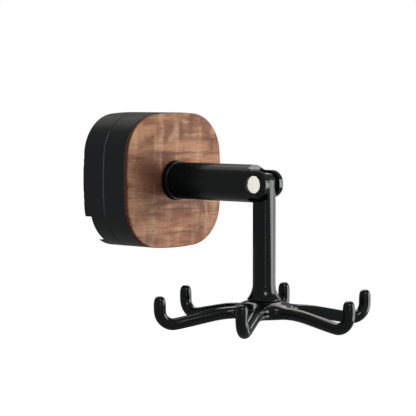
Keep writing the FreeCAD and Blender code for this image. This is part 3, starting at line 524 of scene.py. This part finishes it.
satin_finish, satin_shader = start_finish("satin_stainless")
satin_clouds = speckle(satin_finish, place_pattern(satin_finish), scale=1500.0, detail=3.0)
vary_colour(satin_finish, satin_shader, satin_clouds, tint((188, 187, 180)), tint((228, 227, 218)))
vary_roughness(satin_finish, satin_shader, satin_clouds, 0.38, 0.55)
satin_shader.inputs["Metallic"].default_value = 0.35
raise_surface(satin_finish, satin_shader, satin_clouds, 0.01 * MM)
for node_name in ("hinge_pin", "pin_caps"):
    paint(node_name, satin_finish)

nylon_finish, nylon_shader = start_finish("black_nylon")
nylon_clouds = speckle(nylon_finish, place_pattern(nylon_finish), scale=700.0, detail=3.0)
vary_colour(nylon_finish, nylon_shader, nylon_clouds, tint((12, 12, 13)), tint((18, 18, 19)))
vary_roughness(nylon_finish, nylon_shader, nylon_clouds, 0.45, 0.6)
raise_surface(nylon_finish, nylon_shader, nylon_clouds, 0.01 * MM)
for node_name in ("pin_bush", "hinge_washers", "thrust_washer", "crown_bush", "crown_cap"):
    paint(node_name, nylon_finish)

# ---- Stem --------------------------------------------------------------------------------------
# A cast zinc rod, polished and lacquered in deep gloss black. A rounded tongue at its top turns
# on the hinge pin, and its foot flares out to meet the crown.

stem_radius = 5.2 * MM
tongue_half = 2.8 * MM
foot_radius = 7.7 * MM
foot_bottom = -52.4 * MM
foot_rim_top = -52.1 * MM
flare_top = -45.2 * MM
shoulder_top = -6.9 * MM
shoulder_round = stem_radius - tongue_half
bush_bore_radius = 3.42 * MM
stem_edge_round = 0.28 * MM
clear_of_stem = 9 * MM
flare_fall = flare_top - foot_rim_top
flare_spread = foot_radius - stem_radius
flare_radius = (flare_spread ** 2 + flare_fall ** 2) / (2 * flare_spread)
flare_turn = math.degrees(math.asin(flare_fall / flare_radius))


def about_pin(across, up, forward=0.0):
    """A place measured from the hinge pin's middle."""
    return Vector((across, -pin_depth - forward, up))


stem = start_drawing("hanger_stem", about_pin(0, foot_bottom))
draw_to(about_pin(foot_radius, foot_bottom), about_pin(foot_radius, foot_rim_top))
draw_arc(about_pin(stem_radius + flare_radius, flare_top), (0, -1, 0), flare_turn, 12)
draw_to(about_pin(stem_radius, stem_radius), about_pin(0, stem_radius))
turn_on_lathe(about_pin(0, 0), (0, 0, 1), 96)

for side in (1, -1):
    shoulder = start_drawing("shoulder",
                             about_pin(side * tongue_half, clear_of_stem, clear_of_stem))
    draw_to(about_pin(side * tongue_half, shoulder_top, clear_of_stem))
    draw_arc(about_pin(side * tongue_half, shoulder_top - shoulder_round, clear_of_stem),
             (0, -side, 0), 90, 10)
    draw_to(about_pin(side * clear_of_stem, shoulder_top - shoulder_round, clear_of_stem),
            about_pin(side * clear_of_stem, clear_of_stem, clear_of_stem))
    join_ends()
    make_prism((0, 2 * clear_of_stem, 0))
    cut_away(stem, shoulder)

for side in (1, -1):
    eye = start_drawing("eye_rounding", about_pin(-clear_of_stem, 0, side * stem_radius))
    draw_arc(about_pin(-clear_of_stem, 0), (side, 0, 0), 90, 20)
    draw_to(about_pin(-clear_of_stem, clear_of_stem),
            about_pin(-clear_of_stem, clear_of_stem, side * clear_of_stem),
            about_pin(-clear_of_stem, 0, side * clear_of_stem))
    join_ends()
    make_prism((2 * clear_of_stem, 0, 0))
    cut_away(stem, eye)
drill(stem, about_pin(-clear_of_stem, 0), (1, 0, 0), bush_bore_radius, 2 * clear_of_stem)
round_arrises(stem, stem_edge_round, 3)

lacquer_finish, lacquer_shader = start_finish("gloss_black_lacquer")
lacquer_place = place_pattern(lacquer_finish)
lacquer_peel = speckle(lacquer_finish, lacquer_place, scale=150.0, detail=0.0)
lacquer_clouds = speckle(lacquer_finish, lacquer_place, scale=45.0, detail=3.0)
vary_colour(lacquer_finish, lacquer_shader, lacquer_clouds, tint((7, 11, 12)), tint((11, 16, 18)))
vary_roughness(lacquer_finish, lacquer_shader, lacquer_clouds, 0.13, 0.17)
raise_surface(lacquer_finish, lacquer_shader, lacquer_peel, 0.008 * MM)
hand_over(stem, "stem", "gloss_black", lacquer_finish, "stem")

# ---- Crown of six hooks ------------------------------------------------------------------------
# One zinc casting in the same gloss black lacquer. Six round branches leave the hub in smooth
# webs, fall a little, and turn up into blunt fingers. It turns on a bush under the stem.

branches = 6
web_bearing = 180 / branches
hub_sections = 4
hub_top = -52.85 * MM
hub_bottom = -60.7 * MM
hub_bore_radius = 4.25 * MM
hub_rim_radius = 7.9 * MM
crisp_rim_limit = 7 * MM
cap_recess_radius = 6.4 * MM
cap_recess_roof = -57.2 * MM
web_edge_inside = 13 * MM
web_pull = 0.9
branch_axis = -57.9 * MM
branch_radius = 2.75 * MM
arch_start = 14 * MM
arch_radius = 60 * MM
root_angle = 3.0
root_length = 3 * MM
root_inside = 12 * MM
root_bearing = 16
root_low = -60.4 * MM
root_high = -55.4 * MM
fall_slope = 0.2035
fall_angle = math.degrees(math.atan(fall_slope))
bend_radius = 6.4 * MM
hook_circle = 49.2 * MM
lowest_axis = -62.38 * MM
finger_shoulder = -52.4 * MM

# the web's rim as it falls from the hub's top and comes back under it: outward and up, in mm
web_profile = ((10.4, -53.85), (13.3, -55.1), (13.8, -57.9), (13.3, -60.6), (10.2, -60.9))

# the finger's blunt tip closes in two steps: how far each rises, and how much it shrinks
tip_steps = ((1.75 * MM, 0.88), (1.12 * MM, 0.58))

# a smoothed ring of eight points, or of 24, ends up this much smaller than its points
ring_of_8 = (4 + 2 * math.cos(math.tau / 8)) / 6
ring_of_24 = (4 + 2 * math.cos(math.tau / 24)) / 6
same_place = 0.01 * MM


def at_first_web(out, up):
    """A place on the upright plane half way between two branches."""
    bearing = math.radians(web_bearing)
    return about_pin(-out * math.sin(bearing) / ring_of_24, up,
                     out * math.cos(bearing) / ring_of_24)


def bearing_of(middle):
    """The angle of a place round the swivel, from the branch that points off the wall."""
    return math.degrees(math.atan2(middle.x, -(middle.y + pin_depth)))


def swivel_distance(middle):
    """How far a place lies from the swivel's axis."""
    return math.hypot(middle.x, middle.y + pin_depth)


def is_web_edge(middle, part):
    """The outer points of the webs, half way between two branches."""
    beside = abs(abs(bearing_of(middle)) - web_bearing)
    return beside < 1 and swivel_distance(middle) > web_edge_inside


def is_branch_root(middle, part):
    """The patch of the hub's wall that the branch grows from."""
    return (abs(bearing_of(middle)) < root_bearing and swivel_distance(middle) > root_inside
            and root_low < middle.z < root_high)


def is_crisp_rim(middle, part):
    """The round edges of the bore and the cap's recess, which the smoothing leaves sharp."""
    first, second = part.verts
    level = abs(first.co.z - second.co.z) < same_place
    round_it = abs(swivel_distance(first.co) - swivel_distance(second.co)) < same_place
    return level and round_it and swivel_distance(middle) < crisp_rim_limit


def shape_branch_ring(centre, tilt):
    """Sets the selected patch of nine points on a ring of eight round its centre."""
    patch_width = 2.5 * MM
    patch_rise = 2.2 * MM
    shape = bmesh.from_edit_mesh(bpy.context.edit_object.data)
    points = [point for point in shape.verts if point.select]
    middle = sum((point.co for point in points), Vector()) / len(points)
    hub = min(points, key=lambda point: (point.co - middle).length)
    slope = math.radians(tilt)
    for point in points:
        if point == hub:
            point.co = centre
            continue
        across = round((point.co.x - middle.x) / patch_width)
        up = round((point.co.z - middle.z) / patch_rise)
        way = Vector((across, 0, up)).normalized() * branch_radius / ring_of_8
        point.co = centre + Vector((way.x, -way.z * math.sin(slope), way.z * math.cos(slope)))
    bmesh.update_edit_mesh(bpy.context.edit_object.data)


# one sixth of the hub, spun from web to web about the swivel
crown = start_drawing("hook_crown", at_first_web(hub_bore_radius, hub_top))
draw_to(at_first_web(hub_rim_radius, hub_top))
draw_to(*[at_first_web(out * MM, up * MM) for out, up in web_profile])
draw_to(at_first_web(cap_recess_radius, hub_bottom),
        at_first_web(cap_recess_radius, cap_recess_roof),
        at_first_web(hub_bore_radius, cap_recess_roof))
join_ends()
bpy.ops.mesh.select_all(action="SELECT")
bpy.ops.mesh.spin(steps=hub_sections, dupli=False, angle=math.radians(-2 * web_bearing),
                  center=about_pin(0, 0), axis=(0, 0, 1))
select_where("VERT", is_web_edge)
bpy.ops.transform.resize(value=(web_pull, web_pull, 1),
                         center_override=about_pin(0, branch_axis))

# the branch grows from the middle of the wall: root, arch, fall, bend, finger and tip
select_where("FACE", is_branch_root)
bpy.ops.mesh.extrude_region_move(TRANSFORM_OT_translate={"value": (0, -root_length, 0)})
root_turn = math.radians(root_angle)
shape_branch_ring(about_pin(0, branch_axis - arch_radius * (1 - math.cos(root_turn)),
                            arch_start + arch_radius * math.sin(root_turn)), root_angle)
bpy.ops.mesh.spin(steps=2, dupli=False, angle=math.radians(fall_angle - root_angle),
                  center=about_pin(0, branch_axis - arch_radius, arch_start), axis=(-1, 0, 0))
fall_turn = math.radians(fall_angle)
arch_end = about_pin(0, branch_axis - arch_radius * (1 - math.cos(fall_turn)),
                     arch_start + arch_radius * math.sin(fall_turn))
bend_centre = about_pin(0, lowest_axis + bend_radius, hook_circle - bend_radius)
bend_start = bend_centre + bend_radius * Vector((0, math.sin(fall_turn), -math.cos(fall_turn)))
bpy.ops.mesh.extrude_region_move(TRANSFORM_OT_translate={"value": bend_start - arch_end})
bpy.ops.mesh.spin(steps=6, dupli=False, angle=math.radians(90 + fall_angle),
                  center=bend_centre, axis=(1, 0, 0))
bpy.ops.mesh.extrude_region_move(
    TRANSFORM_OT_translate={"value": (0, 0, finger_shoulder - bend_centre.z)})
for rise, shrink in tip_steps:
    bpy.ops.mesh.extrude_region_move(TRANSFORM_OT_translate={"value": (0, 0, rise)})
    bpy.ops.transform.resize(value=(shrink, shrink, 1),
                             center_override=about_pin(0, 0, hook_circle))

# the other five branches are copies, and the whole is smoothed as one casting
select_where("EDGE", is_crisp_rim)
bpy.ops.transform.edge_crease(value=1.0)
bpy.ops.mesh.select_all(action="SELECT")
bpy.ops.mesh.spin(steps=branches - 1, dupli=True, angle=math.radians(360 - 360 / branches),
                  center=about_pin(0, 0), axis=(0, 0, 1))
close_seams()
bpy.ops.object.mode_set(mode="OBJECT")
smoothing = crown.modifiers.new("smoothing", "SUBSURF")
smoothing.levels = 3
smoothing.render_levels = 3
bpy.ops.object.modifier_apply(modifier=smoothing.name)
bpy.ops.object.shade_smooth_by_angle(angle=math.radians(40))
hand_over(crown, "crown", "gloss_black", lacquer_finish, "crown")

# ---- Studio ------------------------------------------------------------------------------------
# A pale floor well below the hanger in a white room. Two soft boxes stand on the right, one is
# overhead, one in front, and two small ones are near the camera for the upright and round
# highlights. Three more lamps each light only some of the pieces.

floor_drop = 1.3
floor_size = 14.0
bpy.ops.mesh.primitive_plane_add(size=floor_size, location=(0, 0, -floor_drop))
floor = bpy.context.object
floor.name = "studio_floor"
floor_pale = (0.9, 0.9, 0.9, 1)
floor_paler = (0.94, 0.94, 0.94, 1)
floor_glow = 1.1
floor_finish, floor_shader = start_finish("pale_floor")
floor_clouds = speckle(floor_finish, place_pattern(floor_finish), scale=0.8)
floor_colour = blend_colours(floor_finish, floor_clouds, floor_pale, floor_paler)
join(floor_finish, floor_colour, floor_shader.inputs["Base Color"])
floor_shader.inputs["Roughness"].default_value = 0.9
floor_shader.inputs["Emission Color"].default_value = (1, 1, 1, 1)
floor_shader.inputs["Emission Strength"].default_value = floor_glow
floor.data.materials.append(floor_finish)
floor.visible_glossy = False
floor.visible_diffuse = False

# the camera sees a white room, and the pieces see a dim one
room_glow = 0.2
room = bpy.data.worlds.new("white_room")
bpy.context.scene.world = room
room.use_nodes = True
room_nodes = room.node_tree.nodes
room_links = room.node_tree.links
seen = room_nodes["Background"]
seen.inputs["Color"].default_value = (1, 1, 1, 1)
seen.inputs["Strength"].default_value = 1.0
dim = room_nodes.new("ShaderNodeBackground")
dim.inputs["Color"].default_value = (0.97, 1.0, 0.98, 1)
dim.inputs["Strength"].default_value = room_glow
ray = room_nodes.new("ShaderNodeLightPath")
either = room_nodes.new("ShaderNodeMixShader")
room_links.new(ray.outputs["Is Camera Ray"], either.inputs[0])
room_links.new(dim.outputs[0], either.inputs[1])
room_links.new(seen.outputs[0], either.inputs[2])
room_links.new(either.outputs[0], room_nodes["World Output"].inputs["Surface"])

lamp_target = Vector((0, -pin_depth, -30 * MM))
warm_white = (1.0, 0.97, 0.88)
warmer_white = (1.0, 0.96, 0.86)


def add_soft_box(name, bearing, height, distance, width, tall, glow, colour=(1, 1, 1)):
    """A soft box that faces the stem. Its bearing is in degrees from +X, and its glow per area."""
    way = Vector((math.cos(math.radians(bearing)) * math.cos(math.radians(height)),
                  math.sin(math.radians(bearing)) * math.cos(math.radians(height)),
                  math.sin(math.radians(height))))
    turn = (-way).to_track_quat("-Z", "Y").to_euler()
    bpy.ops.object.light_add(type="AREA", location=lamp_target + way * distance, rotation=turn)
    box = bpy.context.object
    box.name = name
    box.data.shape = "RECTANGLE"
    box.data.size = width
    box.data.size_y = tall
    box.data.energy = glow * math.pi * width * tall
    box.data.color = colour
    box.visible_camera = False
    return box


def light_only(lamp, group_name, *pieces):
    """Makes a lamp light the given pieces and nothing else."""
    group = bpy.data.collections.new(group_name)
    for piece in pieces:
        group.objects.link(piece)
    lamp.light_linking.receiver_collection = group


add_soft_box("key_soft_box", bearing=-50, height=1, distance=1.3,
             width=0.6, tall=1.25, glow=5.4)
add_soft_box("side_soft_box", bearing=-14, height=0, distance=1.3,
             width=1.1, tall=1.0, glow=1.9)
add_soft_box("camera_strip_light", bearing=-125.6, height=4, distance=1.6,
             width=0.18, tall=0.5, glow=1.3)
add_soft_box("upper_spot_box", bearing=-124, height=36, distance=1.4,
             width=0.45, tall=0.32, glow=6.0)
add_soft_box("overhead_soft_box", bearing=65, height=54, distance=1.4,
             width=1.0, tall=1.2, glow=0.45, colour=warm_white)

# a box in front evens out the light on the wood, and is kept out of the gloss
front_soft_box = add_soft_box("front_soft_box", bearing=-70, height=8, distance=1.3,
                              width=0.45, tall=1.2, glow=4.4)
front_soft_box.visible_glossy = False

# a low box on the left draws the rounded edges of the shells
edge_lamp = add_soft_box("edge_lamp", bearing=-150, height=4, distance=1.2,
                         width=0.45, tall=1.0, glow=2.4)
light_only(edge_lamp, "lit_shells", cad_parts["rear_shell"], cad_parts["front_shell"])

# a high box behind shows the tops of the hooks and stem, which would else be lost in black
hook_lamp = add_soft_box("hook_lamp", bearing=58, height=47, distance=1.4,
                         width=1.4, tall=1.1, glow=2.2, colour=warmer_white)
light_only(hook_lamp, "lit_hooks", stem, crown)

# the pin's left cap faces away from the brighter boxes, so the caps have a lamp of their own
cap_lamp = add_soft_box("cap_lamp", bearing=172, height=14, distance=0.6,
                        width=0.3, tall=0.3, glow=14.0)
light_only(cap_lamp, "lit_caps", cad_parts["pin_caps"])

# ---- Camera ------------------------------------------------------------------------------------
# A long lens a little above the arm. It stands on the left and looks across the housing's front,
# so that the side of the shells, the wood and the whole crown show.

camera_place = (-0.6291, -0.6361, 0.04114)
camera_aim = Vector((0.73072, 0.67985, -0.06211))
camera_lens = 159.9
bpy.ops.object.camera_add(location=camera_place,
                          rotation=camera_aim.to_track_quat("-Z", "Y").to_euler())
camera = bpy.context.object
camera.name = "studio_camera"
camera.data.sensor_width = 36
camera.data.lens = camera_lens
camera.data.clip_start = 0.01
camera.data.clip_end = 100
bpy.context.scene.camera = camera
bpy.context.scene.view_settings.view_transform = "Standard"
